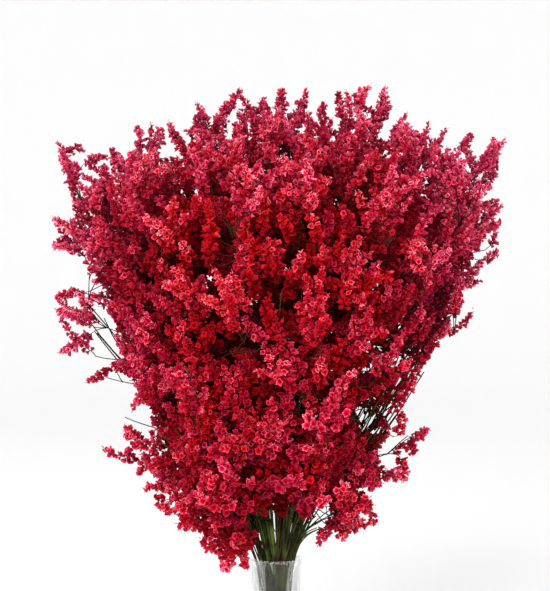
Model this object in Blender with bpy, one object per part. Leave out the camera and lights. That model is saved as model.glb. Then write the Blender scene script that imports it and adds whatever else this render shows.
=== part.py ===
"""Dyed dried statice, a full bunch of cut stems standing in a clear glass vase.

Metres, +Z up. The origin is the middle of the vase's foot, on the surface it stands on.
The view from -Y is the front. Each flowering stem is two solids that meet end to end:
a bare green stem, and the red flowering spray above it, with its forks and spikes of florets.
"""

import math
import random

import bpy
import numpy as np
from mathutils import Vector

# Vase
VASE_HEIGHT = 0.190
VASE_SIDES = 24
MOUTH_RADIUS = 0.0265
NECK_RADIUS = 0.0245
BELLY_RADIUS = 0.048
FOOT_RADIUS = 0.041
BELLY_HEIGHT = 0.068
NECK_START = 0.150
LIP_START = 0.178
FOOT_ROUNDING = 0.003
GLASS_WALL = 0.003
GLASS_FLOOR = 0.012
MOUTH = Vector((0, 0, VASE_HEIGHT))

# Stems, spread like the seeds of a sunflower, drawn together below the mouth and twisted in the vase
STEM_COUNT = 24
OUTERMOST_SHARE = 0.90
STEM_RADIUS = 0.0017
STEM_TIP_RADIUS = 0.0014
HEAD_TAPER = 0.86
WAIST_BELOW_MOUTH = 0.030
WAIST_SPREAD = 0.0150
MOUTH_SPREAD = 0.0195
CUT_END_SPREAD = 0.029
STEM_TWIST = math.radians(70)
STRAIGHT_OUT = 0.052
FORK_SHARE = 0.20
RUN_IN_VASE = 0.060
RUN_ABOVE = 0.032
RUN_IN_HEAD = 0.045
FEWEST_RUNS = 3
MEETING_GAP = 0.0003
GOLDEN_ANGLE = math.pi * (3 - math.sqrt(5))
SEED = 14

# How far the flower tips reach from the middle of the mouth, by the angle from upright
REACH_ANGLES = [
    math.radians(a) for a in (0, 12, 22, 28, 30.5, 33, 35, 37, 39.5, 44, 52, 58, 64, 72, 80, 96)
]
REACH_RIGHT = (
    0.450, 0.460, 0.450, 0.450, 0.424, 0.390, 0.330, 0.268, 0.210, 0.178, 0.158, 0.124, 0.097, 0.074, 0.060,
    0.050,
)
REACH_LEFT = (
    0.450, 0.444, 0.428, 0.444, 0.405, 0.345, 0.302, 0.265, 0.235, 0.193, 0.172, 0.150, 0.126, 0.088, 0.068,
    0.052,
)

# The tips that stand clear in the outline seen from the front: right of the middle, above the mouth
SKYLINE_TIPS = (
    (-0.214, 0.413), (-0.190, 0.395), (-0.163, 0.407), (-0.128, 0.438), (-0.106, 0.434),
    (-0.080, 0.453), (-0.060, 0.447), (-0.040, 0.465), (-0.015, 0.456), (0.001, 0.462),
    (0.030, 0.468), (0.048, 0.452), (0.068, 0.463), (0.094, 0.470), (0.111, 0.477),
    (0.131, 0.443), (0.152, 0.432), (0.176, 0.431), (0.204, 0.406), (0.226, 0.418),
    (-0.207, 0.372), (-0.224, 0.338), (-0.220, 0.306), (-0.221, 0.256), (-0.212, 0.243),
    (-0.216, 0.206), (-0.188, 0.178), (-0.150, 0.127), (-0.178, 0.106), (-0.131, 0.068),
    (-0.118, 0.045), (-0.094, 0.028), (-0.072, 0.015), (-0.052, -0.008), (0.222, 0.396),
    (0.222, 0.352), (0.223, 0.336), (0.211, 0.300), (0.194, 0.248), (0.173, 0.227),
    (0.151, 0.127), (0.129, 0.092), (0.099, 0.036), (0.080, 0.024), (0.046, 0.022),
)
SKYLINE_DEPTH = 0.035
SKYLINE_ROOM = 0.020

# Left, right and top, from the middle of the mouth, of the patch in front where the stems show bare
BARE_FRONT = (-0.016, 0.048, 0.050)

# Spikes of florets
SPIKE_COUNT = 215
INNER_EVERY = 5
INNER_DEPTH = (0.060, 0.100)
OUTER_DEPTH = (0.002, 0.028)
SPIKE_LENGTH = 0.066
SPIKE_RADIUS = 0.0176
SKYLINE_SPIKE = 0.56
TWIG_RADIUS = 0.0011
TWIG_ROOT = 0.7
END_TWIG = 0.020
FLORETS_ROUND = 3
WHORLS = ((0.14, 0.78), (0.36, 1.0), (0.60, 0.90), (0.82, 0.60))
VALLEY = 0.56
FLORET_LEAN = 0.06
FAN_CENTRE = MOUTH + Vector((0, 0, 0.070))
SPIKE_TILT = 0.65
SKYLINE_TILT = 0.4
SHORTEST_SPIKE = 0.62

# Finding room for each spike
SPRAY_CLEARANCE = 0.0009
OWN_OVERLAP = 0.15
LOAD_STEP = 0.004
BARE_STEM = -1
STEM_STEPS_IN_VASE = 12
STEM_STEPS_ABOVE = 40
TRIES = 36

GLASS_COLOUR = (0.86, 0.90, 0.90)
STEM_GREEN = (0.045, 0.070, 0.020)
FLOWER_RED = (0.45, 0.012, 0.035)


def clear_scene():
    for obj in list(bpy.data.objects):
        bpy.data.objects.remove(obj)


def material(name, colour, roughness, transmission=0.0):
    made = bpy.data.materials.new(name)
    made.use_nodes = True
    shader = made.node_tree.nodes["Principled BSDF"]
    shader.inputs["Base Color"].default_value = (*colour, 1)
    shader.inputs["Roughness"].default_value = roughness
    shader.inputs["Metallic"].default_value = 0.0
    shader.inputs["Transmission Weight"].default_value = transmission
    return made


def add_object(name, mesh, finish):
    mesh.materials.clear()
    mesh.materials.append(finish)
    obj = bpy.data.objects.new(name, mesh)
    bpy.context.scene.collection.objects.link(obj)
    return obj


# Lines and where the flowers reach

def direction(polar, azimuth):
    """Unit vector at an angle from upright, turned about the vase's axis."""
    return Vector((math.sin(polar) * math.cos(azimuth), math.sin(polar) * math.sin(azimuth), math.cos(polar)))


def reach(polar, azimuth):
    """How far the flowers reach that way from the middle of the mouth."""
    right = np.interp(polar, REACH_ANGLES, REACH_RIGHT)
    left = np.interp(polar, REACH_ANGLES, REACH_LEFT)
    return float(left + (right - left) * (0.5 + 0.5 * math.cos(azimuth)))


def surface_shares(steps=400):
    """Angles from upright, and the share of the bunch's outer surface that lies above each."""
    polar = np.linspace(0, REACH_ANGLES[-1], steps)
    far = (np.interp(polar, REACH_ANGLES, REACH_RIGHT) + np.interp(polar, REACH_ANGLES, REACH_LEFT)) / 2
    out, up = far * np.sin(polar), far * np.cos(polar)
    band = np.hypot(np.diff(out), np.diff(up)) * (out[1:] + out[:-1])
    share = np.concatenate([[0], np.cumsum(band)])
    return polar, share / share[-1]


def bezier(a, b, c, d, t):
    s = 1 - t
    return a * s**3 + b * (3 * s * s * t) + c * (3 * s * t * t) + d * t**3


def lengths_along(points):
    steps = [(q - p).length for p, q in zip(points, points[1:])]
    return np.concatenate([[0], np.cumsum(steps)])


def point_at(points, lengths, s):
    """The point, and the heading there, at a distance s along a line of points."""
    k = int(np.clip(np.searchsorted(lengths, s, side="right") - 1, 0, len(points) - 2))
    share = (s - lengths[k]) / (lengths[k + 1] - lengths[k])
    heading = (points[k + 1] - points[k]).normalized()
    return points[k].lerp(points[k + 1], float(np.clip(share, 0, 1))), heading


# Distances between round-ended rods, which keep the sprays clear of each other

def rod_gaps(a, b, radius, starts, ends, radii):
    """Gap from one rod, a to b, to each of many rods."""
    a, b = np.array(a), np.array(b)
    d1, d2 = b - a, ends - starts
    r = a - starts
    e1, e2 = float(d1 @ d1) + 1e-12, (d2 * d2).sum(1) + 1e-12
    f, c, along = (d2 * r).sum(1), r @ d1, d2 @ d1
    slack = e1 * e2 - along * along
    s = np.where(slack > 1e-12, np.clip((along * f - c * e2) / np.maximum(slack, 1e-12), 0, 1), 0)
    t = np.clip((along * s + f) / e2, 0, 1)
    s = np.clip((along * t - c) / e1, 0, 1)
    apart = (a + d1 * s[:, None]) - (starts + d2 * t[:, None])
    return np.sqrt((apart * apart).sum(1)) - radius - radii


class Rods:
    """Every rod placed so far, one row each: start, end, radius and the stem that owns it."""

    def __init__(self):
        self.rows = np.zeros((0, 8))

    def add(self, rods, owner):
        self.rows = np.vstack([self.rows] + [[(*a, *b, radius, owner)] for a, b, radius in rods])

    def gap(self, rods, owner, own=False):
        """The least gap from these rods to what other stems own, or to what their own stem does."""
        rows = self.rows[(self.rows[:, 7] == owner) == own]
        if not len(rows):
            return math.inf
        starts, ends, radii = rows[:, 0:3], rows[:, 3:6], rows[:, 6]
        return min(rod_gaps(a, b, radius, starts, ends, radii).min() for a, b, radius in rods)


def line_rods(points, radius):
    return [(p, q, radius) for p, q in zip(points, points[1:])]


def spike_rods(base, tip, radius):
    """Three rods that hold a spike, whose florets are widest at its middle."""
    along = tip - base
    return [
        (base + along * 0.10, base + along * 0.30, radius * 0.86),
        (base + along * 0.36, base + along * 0.58, radius),
        (base + along * 0.58, base + along * 0.90, radius * 0.76),
    ]


# Stems, from their cut ends in the vase to the ends of their heads

def end_room(full):
    """How much of the reach is left for the spike at a stem's end."""
    return min(0.075, 0.42 * full)


def end_spike_length(end):
    """The length of the spike at a stem's end, nearly out to the bunch's surface."""
    from_mouth = end - MOUTH
    polar = from_mouth.angle(Vector((0, 0, 1)))
    full = reach(polar, math.atan2(from_mouth.y, from_mouth.x))
    return min(SPIKE_LENGTH, 0.92 * end_room(full))


def stem_line(index, polar_of_share):
    """The line of one whole stem, and the distances along it of the waist and of the head's first fork."""
    share = (index + 0.5) / STEM_COUNT
    rank = math.sqrt(share)
    azimuth = index * GOLDEN_ANGLE + 0.6
    polar = float(polar_of_share(share * OUTERMOST_SHARE))
    side = Vector((math.cos(azimuth), math.sin(azimuth), 0))
    waist = MOUTH + side * (rank * WAIST_SPREAD) - Vector((0, 0, WAIST_BELOW_MOUTH))
    over_mouth = MOUTH + side * (rank * MOUTH_SPREAD)
    start = (over_mouth - waist).normalized()
    full = reach(polar, azimuth)
    end = MOUTH + direction(polar, azimuth) * (full - end_room(full))
    end_heading = direction(min(polar * 1.2, math.radians(98)), azimuth)
    span = (end - waist).length
    out_of_vase = waist + start * (STRAIGHT_OUT + 0.16 * max(span - 0.08, 0))
    into_head = end - end_heading * (0.36 * span)
    shares = [k / STEM_STEPS_ABOVE for k in range(STEM_STEPS_ABOVE + 1)]
    upper = [bezier(waist, out_of_vase, into_head, end, t) for t in shares]

    turned = azimuth - STEM_TWIST
    cut_end = Vector((math.cos(turned), math.sin(turned), 0)) * (rank * CUT_END_SPREAD)
    cut_end.z = GLASS_FLOOR + MEETING_GAP
    lower_lean = waist - start * 0.055
    foot_lean = cut_end + Vector((0, 0, 0.045))
    shares = [k / STEM_STEPS_IN_VASE for k in range(STEM_STEPS_IN_VASE)]
    lower = [bezier(cut_end, foot_lean, lower_lean, waist, t) for t in shares]
    points = lower + upper
    lengths = lengths_along(points)
    waist_at = float(lengths[STEM_STEPS_IN_VASE])
    above = float(lengths[-1]) - waist_at - WAIST_BELOW_MOUTH
    return points, lengths, waist_at, waist_at + WAIST_BELOW_MOUTH + 0.012 + FORK_SHARE * above


def resampled(points, lengths, start, end, longest):
    """Evenly spaced points along a stretch of a line, no further apart than longest."""
    count = max(1, math.ceil((end - start) / longest))
    return [point_at(points, lengths, start + (end - start) * k / count)[0] for k in range(count + 1)]


# Spikes

def in_bare_front(tip):
    """True for a tip that would hide the stems in front, just above the mouth."""
    left, right, top = BARE_FRONT
    return tip.y < 0 and left < tip.x < right and tip.z < MOUTH.z + top


def flower_tips(polar_of_share):
    """The end and the relative size of every spike, over the whole outer surface of the bunch."""
    draw = random.Random(SEED)
    tips = []
    for out, up in SKYLINE_TIPS:
        depth = draw.uniform(-SKYLINE_DEPTH, SKYLINE_DEPTH) * min(1, abs(up) / 0.1)
        tips.append((MOUTH + Vector((out, depth, up)), SKYLINE_SPIKE))
    for k in range(SPIKE_COUNT):
        polar = float(polar_of_share((k + 0.5) / SPIKE_COUNT)) + draw.uniform(-0.05, 0.05)
        azimuth = k * GOLDEN_ANGLE + draw.uniform(-0.12, 0.12)
        inner = k % INNER_EVERY == INNER_EVERY - 1
        full = reach(polar, azimuth)
        inset = min(draw.uniform(*(INNER_DEPTH if inner else OUTER_DEPTH)), 0.35 * full)
        tip = MOUTH + direction(max(polar, 0.02), azimuth) * (full - inset)
        roomy = all((tip - other).length > SKYLINE_ROOM for other, _ in tips[: len(SKYLINE_TIPS)])
        if roomy and not in_bare_front(tip):
            tips.append((tip, 1.0))
    return tips


def spike_heading(tip, tilt, draw):
    """Out from the middle of the fan, and tilted at random."""
    stray = Vector([draw.gauss(0, 1) for _ in range(3)]).normalized()
    outward = (tip - FAN_CENTRE).normalized()
    return (outward + stray * tilt).normalized()


def twig_line(stem, base, heading):
    """Where a twig leaves the stem, and its line, which leans off the stem and curves into the spike."""
    points, lengths, _, fork_at = stem
    away = [(p - base).length for p in points]
    nearest = int(np.argmin(away))
    leave = np.clip(lengths[nearest] - 0.85 * away[nearest], fork_at + 0.006, lengths[-1] - END_TWIG - 0.004)
    root, way = point_at(points, lengths, leave)
    span = (base - root).length
    pull_out, pull_in = root + way * (0.38 * span), base - heading * (0.34 * span)
    return float(leave), [bezier(root, pull_out, pull_in, base, k / 2) for k in range(3)]


def clear_of_vase(rods):
    """True if the rods keep off the lip and the outside of the neck."""
    for a, b, radius in rods:
        for share in (0, 0.5, 1):
            p = Vector(a).lerp(Vector(b), share)
            over = max(p.z - radius - VASE_HEIGHT, 0)
            out = max(math.hypot(p.x, p.y) - radius - MOUTH_RADIUS, 0)
            if math.hypot(over, out) < SPRAY_CLEARANCE:
                return False
    return True


class Bunch:
    """The stems' lines, and for each the (place on the stem, twig line, tip, radius) of its spikes."""

    def __init__(self, polar_of_share):
        self.stems = [stem_line(k, polar_of_share) for k in range(STEM_COUNT)]
        self.spikes = [[] for _ in self.stems]
        self.rods, self.own_spikes = Rods(), Rods()
        for k, (points, lengths, _, fork_at) in enumerate(self.stems):
            bare = resampled(points, lengths, 0, fork_at, 0.02)
            head = resampled(points, lengths, fork_at, lengths[-1], 0.02)
            self.rods.add(line_rods(bare, STEM_RADIUS), BARE_STEM)
            self.rods.add(line_rods(head, STEM_TIP_RADIUS), k)

    def place(self, owner, leave, twig, tip, radius):
        """Place a spike and its twig, if they find room, and say whether they did."""
        spike = spike_rods(twig[-1], tip, radius)
        rods = line_rods(twig, TWIG_RADIUS) + spike
        if not clear_of_vase(spike) or self.rods.gap(rods, owner) < SPRAY_CLEARANCE:
            return False
        if self.own_spikes.gap(spike, owner, own=True) < -OWN_OVERLAP * radius:
            return False
        self.rods.add(rods, owner)
        self.own_spikes.add(spike, owner)
        self.spikes[owner].append((leave, twig, tip, radius))
        return True

    def nearest_stems(self, tip):
        """The stems in order of their distance from a tip, with those that carry more set further back."""
        away = [min((p - tip).length for p in points[2 * STEM_STEPS_IN_VASE:]) for points, *_ in self.stems]
        return np.argsort([d + LOAD_STEP * len(own) for d, own in zip(away, self.spikes)])

    def end_stem(self, owner):
        """Give a stem the spike at its end, as large as there is room for."""
        points, lengths, _, _ = self.stems[owner]
        leave = float(lengths[-1]) - END_TWIG
        twig = [point_at(points, lengths, leave + END_TWIG * k / 2)[0] for k in range(3)]
        heading = (points[-1] - points[-2]).normalized()
        length = end_spike_length(points[-1])
        for attempt in range(TRIES):
            give = 1 - 0.7 * attempt / TRIES
            radius = SPIKE_RADIUS * give * min(1, length / SPIKE_LENGTH)
            if self.place(owner, leave, twig, points[-1] + heading * (length * give), radius):
                return

    def side_spike(self, tip, size, draw):
        """Give a spike that ends at a tip to a stem nearby, smaller and tilted anew till it fits."""
        near = self.nearest_stems(tip)
        short = min(1, SHORTEST_SPIKE * (tip - MOUTH).length / SPIKE_LENGTH)
        for attempt in range(TRIES):
            owner = int(near[attempt // 4 % 3])
            give = 1 - 0.4 * attempt / TRIES
            heading = spike_heading(tip, SPIKE_TILT * (SKYLINE_TILT if size < 1 else 1), draw)
            length = SPIKE_LENGTH * draw.uniform(0.86, 1.08) * (0.5 + 0.5 * give) * (0.5 + 0.5 * size) * short
            radius = SPIKE_RADIUS * draw.uniform(0.90, 1.08) * give * size * (0.4 + 0.6 * short)
            leave, twig = twig_line(self.stems[owner], tip - heading * length, heading)
            if self.place(owner, leave, twig, tip, radius):
                return


def plan_bunch():
    """The whole bunch: stems, the spikes at their ends, then the spikes at their sides."""
    angles, shares = surface_shares()

    def polar_of_share(share):
        return np.interp(share, shares, angles)

    bunch = Bunch(polar_of_share)
    for owner in range(STEM_COUNT):
        bunch.end_stem(owner)
    draw = random.Random(SEED + 1)
    for tip, size in flower_tips(polar_of_share):
        bunch.side_spike(tip, size, draw)
    return bunch


# Meshes

def turned_frames(points, first=None, last=None):
    """At each point of a line, two directions across it that turn as little as possible along it.

    The ends are square to the line, or to the headings first and last.
    """
    runs = [(q - p).normalized() for p, q in zip(points, points[1:])]
    between = [(a + b).normalized() for a, b in zip(runs, runs[1:])]
    headings = [first or runs[0]] + between + [last or runs[-1]]
    across = headings[0].orthogonal().normalized()
    frames = []
    for heading in headings:
        across = (across - heading * across.dot(heading)).normalized()
        frames.append((across, heading.cross(across)))
    return frames


def ring(centre, frame, radii):
    """Points round a centre, one for each radius."""
    turn = 2 * math.pi / len(radii)
    return [
        centre + (frame[0] * math.cos(turn * k) + frame[1] * math.sin(turn * k)) * radius
        for k, radius in enumerate(radii)
    ]


def mesh_of(name, corners, faces):
    mesh = bpy.data.meshes.new(name)
    mesh.from_pydata([tuple(c) for c in corners], [], faces)
    mesh.update()
    return mesh


def tube_faces(start, sides, count):
    """Faces between rings of equal size that follow each other from corner number start."""
    faces = []
    for k in range(count - 1):
        for j in range(sides):
            a, b = start + k * sides + j, start + k * sides + (j + 1) % sides
            faces.append((a, b, b + sides, a + sides))
    return faces


def tube(name, points, radii, sides, first=None, last=None):
    """A closed tube along a line of points, with its ends square to the line or to the given headings."""
    corners = []
    for point, frame, radius in zip(points, turned_frames(points, first, last), radii):
        corners += ring(point, frame, [radius] * sides)
    faces = tube_faces(0, sides, len(points))
    last = len(corners) - sides
    faces.append(tuple(reversed(range(sides))))
    faces.append(tuple(range(last, last + sides)))
    return mesh_of(name, corners, faces)


def spike_on_twig(name, twig, tip, radius):
    """A twig of three sides that swells into a spike, whose florets stand out in alternating whorls."""
    sides, round_it = 3, 2 * FLORETS_ROUND
    frames = turned_frames(twig + [tip])
    corners = []
    for k, (point, frame) in enumerate(zip(twig, frames)):
        corners += ring(point, frame, [TWIG_RADIUS * (TWIG_ROOT if k == 0 else 1)] * sides)
    faces = [tuple(reversed(range(sides)))] + tube_faces(0, sides, len(twig))
    neck = len(corners) - sides
    base, along = twig[-1], tip - twig[-1]
    for k, (place, width) in enumerate(WHORLS):
        radii = [radius * width * (1 if (j + k) % 2 == 0 else VALLEY) for j in range(round_it)]
        whorl = ring(base + along * place, frames[-1], radii)
        corners += [c + along * (FLORET_LEAN if (j + k) % 2 == 0 else 0) for j, c in enumerate(whorl)]
    corners.append(tip)

    first = neck + sides
    joints = [round(j * round_it / sides) for j in range(sides + 1)]
    for j in range(sides):
        here, after = neck + j, neck + (j + 1) % sides
        middle = (joints[j] + joints[j + 1]) // 2
        for m in range(joints[j], joints[j + 1]):
            apex = here if m < middle else after
            faces.append((apex, first + (m + 1) % round_it, first + m % round_it))
        faces.append((here, after, first + middle % round_it))
    for k in range(len(WHORLS) - 1):
        low, high = first + k * round_it, first + (k + 1) * round_it
        for j in range(round_it):
            a, b = low + j, low + (j + 1) % round_it
            c, d = high + (j + 1) % round_it, high + j
            faces += [(a, b, d), (b, c, d)] if (j + k) % 2 == 0 else [(a, b, c), (a, c, d)]
    top, last = first + (len(WHORLS) - 1) * round_it, len(corners) - 1
    faces += [(top + j, top + (j + 1) % round_it, last) for j in range(round_it)]
    return mesh_of(name, corners, faces)


# Sub-parts

def outer_radius(height):
    """The vase's outside: a foot that swells to the belly, a shoulder, a straight neck and a flared lip."""
    if height < BELLY_HEIGHT:
        return BELLY_RADIUS + (FOOT_RADIUS - BELLY_RADIUS) * (1 - height / BELLY_HEIGHT) ** 2
    if height < NECK_START:
        up = (height - BELLY_HEIGHT) / (NECK_START - BELLY_HEIGHT)
        return BELLY_RADIUS + (NECK_RADIUS - BELLY_RADIUS) * (0.5 - 0.5 * math.cos(math.pi * up))
    flare = max(0, (height - LIP_START) / (VASE_HEIGHT - LIP_START))
    return NECK_RADIUS + (MOUTH_RADIUS - NECK_RADIUS) * flare**2


def make_vase(finish):
    """A turned glass vase, open at its mouth, with a thick foot."""
    body = list(np.linspace(GLASS_FLOOR + GLASS_WALL, NECK_START, 7))
    inside = body + [LIP_START, VASE_HEIGHT]
    outside = [FOOT_ROUNDING] + inside
    profile = [(outer_radius(z), z) for z in reversed(outside)]
    profile += [(FOOT_RADIUS - FOOT_ROUNDING, 0), (FOOT_RADIUS - 2 * GLASS_WALL, GLASS_FLOOR)]
    profile += [(outer_radius(z) - GLASS_WALL, z) for z in inside]
    corners = []
    for radius, height in profile:
        corners += ring(Vector((0, 0, height)), (Vector((1, 0, 0)), Vector((0, 1, 0))), [radius] * VASE_SIDES)
    foot, sides = len(outside), VASE_SIDES
    faces = []
    for k in range(len(profile)):
        if k == foot:
            continue
        low = (k + 1) % len(profile) * sides
        for j in range(sides):
            after = (j + 1) % sides
            faces.append((k * sides + j, low + j, low + after, k * sides + after))
    faces.append(tuple(foot * sides + j for j in reversed(range(sides))))
    faces.append(tuple((foot + 1) * sides + j for j in range(sides)))
    vase = add_object("vase", mesh_of("vase", corners, faces), finish)
    vase.data.shade_smooth()
    vase.data.set_sharp_from_angle(angle=math.radians(50))
    return vase


def make_stem(number, stem, finish):
    """The bare green stem, from its cut end in the vase to the first fork."""
    points, lengths, waist_at, fork_at = stem
    inside = resampled(points, lengths, 0, waist_at, RUN_IN_VASE)
    above = resampled(points, lengths, waist_at, fork_at - MEETING_GAP / 2, RUN_ABOVE)
    line = inside + above[1:]
    radii = np.linspace(STEM_RADIUS, STEM_TIP_RADIUS, len(line))
    fork_heading = point_at(points, lengths, fork_at)[1]
    mesh = tube("stem", line, radii, 4, first=Vector((0, 0, 1)), last=fork_heading)
    mesh.shade_smooth()
    return add_object(f"stem_{number:02d}", mesh, finish)


def make_spray(number, stem, spikes, finish):
    """The flowering head: its axis, with every twig and spike joined to it."""
    points, lengths, _, fork_at = stem
    start = fork_at + MEETING_GAP / 2
    end = max(leave for leave, *_ in spikes) + 0.001
    line = resampled(points, lengths, start, end, min(RUN_IN_HEAD, (end - start) / FEWEST_RUNS))
    radii = np.linspace(STEM_TIP_RADIUS, STEM_TIP_RADIUS * HEAD_TAPER, len(line))
    fork_heading = point_at(points, lengths, fork_at)[1]
    spray = add_object(f"spray_{number:02d}", tube("spray", line, radii, 4, first=fork_heading), finish)
    repeats = bpy.data.collections.new("spikes")
    for _, twig, tip, radius in spikes:
        mesh = spike_on_twig("spike", twig, tip, radius)
        repeats.objects.link(bpy.data.objects.new("spike", mesh))
    union = spray.modifiers.new("join", "BOOLEAN")
    union.operation = "UNION"
    union.operand_type = "COLLECTION"
    union.collection = repeats
    union.solver = "MANIFOLD"  # the EXACT solver leaves open edges where twigs cross at their roots
    graph = bpy.context.evaluated_depsgraph_get()
    joined = bpy.data.meshes.new_from_object(spray.evaluated_get(graph))
    spray.modifiers.clear()
    spray.data = joined
    joined.materials.clear()
    joined.materials.append(finish)
    for obj in list(repeats.objects):
        bpy.data.objects.remove(obj)
    bpy.data.collections.remove(repeats)
    return spray


def main():
    clear_scene()
    glass = material("clear_glass", GLASS_COLOUR, 0.05, transmission=1.0)
    green = material("dried_stem", STEM_GREEN, 0.75)
    red = material("dyed_florets", FLOWER_RED, 0.85)
    bunch = plan_bunch()
    make_vase(glass)
    for k, (stem, spikes) in enumerate(zip(bunch.stems, bunch.spikes)):
        make_stem(k + 1, stem, green)
        make_spray(k + 1, stem, spikes, red)


main()
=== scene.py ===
"""The looks of a full bunch of crimson dried statice that stands in a clear glass bottle vase."""

import functools
import math
import random

import bpy
import numpy as np
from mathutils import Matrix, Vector


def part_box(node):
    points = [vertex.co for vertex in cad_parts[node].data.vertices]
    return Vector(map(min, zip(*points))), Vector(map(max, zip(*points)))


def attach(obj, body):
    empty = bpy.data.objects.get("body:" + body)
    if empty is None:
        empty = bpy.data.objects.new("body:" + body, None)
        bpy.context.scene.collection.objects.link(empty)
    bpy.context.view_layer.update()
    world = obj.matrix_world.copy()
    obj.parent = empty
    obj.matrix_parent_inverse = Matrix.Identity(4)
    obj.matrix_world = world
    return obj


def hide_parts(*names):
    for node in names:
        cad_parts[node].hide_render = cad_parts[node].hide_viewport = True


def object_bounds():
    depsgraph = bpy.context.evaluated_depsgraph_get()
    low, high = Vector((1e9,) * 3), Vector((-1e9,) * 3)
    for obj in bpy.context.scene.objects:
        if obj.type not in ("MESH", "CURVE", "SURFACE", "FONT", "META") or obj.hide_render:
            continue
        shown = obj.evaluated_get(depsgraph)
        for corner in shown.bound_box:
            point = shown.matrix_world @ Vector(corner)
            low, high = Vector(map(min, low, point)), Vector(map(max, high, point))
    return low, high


bl_info = {
    "name": "Dried statice in a glass vase",
    "version": (1, 0, 0),
    "blender": (4, 5, 0),
    "location": "View3D > Sidebar > Statice",
    "description": "Dresses the statice bunch with papery florets, twigs, ribbed stems and clear glass",
    "category": "Object",
}

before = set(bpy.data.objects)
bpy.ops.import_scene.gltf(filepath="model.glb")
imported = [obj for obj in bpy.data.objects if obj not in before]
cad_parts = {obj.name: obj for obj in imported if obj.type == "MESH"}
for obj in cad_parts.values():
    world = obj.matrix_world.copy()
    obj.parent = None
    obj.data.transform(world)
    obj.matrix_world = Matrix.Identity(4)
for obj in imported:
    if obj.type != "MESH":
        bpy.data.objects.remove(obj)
CAD_BOX = [list(corner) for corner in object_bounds()]

# Vase, as the frame has it
VASE_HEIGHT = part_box("vase")[1][2]
MOUTH_RADIUS = 0.0265
NECK_RADIUS = 0.0245
BELLY_RADIUS = 0.048
FOOT_RADIUS = 0.041
BELLY_HEIGHT = 0.068
NECK_START = 0.150
LIP_START = 0.178
FOOT_ROUNDING = 0.003
GLASS_WALL = 0.003
GLASS_FLOOR = 0.012
MOUTH = Vector((0, 0, round(VASE_HEIGHT, 4)))

# Stems, as the frame has them
STEM_COUNT = 24
OUTERMOST_SHARE = 0.90
STEM_RADIUS = 0.0017
STEM_TIP_RADIUS = 0.0014
WAIST_BELOW_MOUTH = 0.030
WAIST_SPREAD = 0.0150
MOUTH_SPREAD = 0.0195
CUT_END_SPREAD = 0.029
STEM_TWIST = math.radians(70)
STRAIGHT_OUT = 0.052
FORK_SHARE = 0.20
MEETING_GAP = 0.0003
GOLDEN_ANGLE = math.pi * (3 - math.sqrt(5))
SEED = 14

# How far the flower tips reach from the middle of the mouth to its two sides, by the angle from upright
REACH_ANGLES = [math.radians(a) for a in (0, 12, 22, 28, 30.5, 33, 35, 37, 39.5, 44, 52, 58, 64, 72, 80, 96)]
REACH_RIGHT = np.array((450, 460, 450, 450, 424, 390, 330, 268, 210, 178, 158, 124, 97, 74, 60, 50)) / 1000
REACH_LEFT = np.array((450, 444, 428, 444, 405, 345, 302, 265, 235, 193, 172, 150, 126, 88, 68, 52)) / 1000

# The spikes' tips that stand clear in the outline. This table and the three others give
# whole millimetres right of the middle and above the mouth, as the front view shows them.
SKYLINE_TIPS = np.array((
    (-214, 413), (-190, 395), (-163, 407), (-128, 438), (-106, 434), (-80, 453), (-60, 447), (-40, 465),
    (-15, 456), (1, 462), (30, 468), (48, 452), (68, 463), (94, 470), (111, 477), (131, 443), (152, 432),
    (176, 431), (204, 406), (226, 418), (-207, 372), (-224, 338), (-220, 306), (-221, 256), (-212, 243),
    (-216, 206), (-188, 178), (-150, 127), (-178, 106), (-131, 68), (-118, 45), (-94, 28), (-72, 15),
    (-52, -8), (222, 396), (222, 352), (223, 336), (211, 300), (194, 248), (173, 227), (151, 127),
    (129, 92), (99, 36), (80, 24), (46, 22),
)) / 1000
SKYLINE_DEPTH = 0.035
SKYLINE_ROOM = 0.020

# Left, right and top, from the middle of the mouth, of the patch in front where the stems show bare
BARE_FRONT = (-0.016, 0.048, 0.050)

# The frame's large spikes
SPIKE_COUNT = 215
INNER_EVERY = 5
INNER_DEPTH = (0.060, 0.100)
OUTER_DEPTH = (0.002, 0.028)
SPIKE_LENGTH = 0.066
SPIKE_RADIUS = 0.0176
SKYLINE_SPIKE = 0.56
TWIG_RADIUS = 0.0011
END_TWIG = 0.020
FAN_CENTRE = MOUTH + Vector((0, 0, 0.070))
SPIKE_TILT = 0.65
SKYLINE_TILT = 0.4
SHORTEST_SPIKE = 0.62
SPRAY_CLEARANCE = 0.0009
OWN_OVERLAP = 0.15
LOAD_STEP = 0.004
BARE_STEM = -1
STEM_STEPS_IN_VASE = 12
STEM_STEPS_ABOVE = 40
TRIES = 36

# Florets and the tails they sit on
TIP_INSET = 0.0015
FACE_INSET = 1e-5
LOBED_SIZE = 1.18
SLIM_SPIKE = 0.0115
SLIM_SIZE = 0.94
WAVER_TURNS = 1.25
WAVER = (0.0006, 0.0022)
TWIG_LEAD = 0.24
SIDE_LEAN = (0.45, 0.85)
SIDE_LENGTH = (0.40, 0.58)
FILL_LENGTH = (0.75, 1.2)
OPEN_SHARE = 0.91
FLORET_SPREAD = (0.74, 1.22)
LOW_OPENING = 0.95

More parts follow.
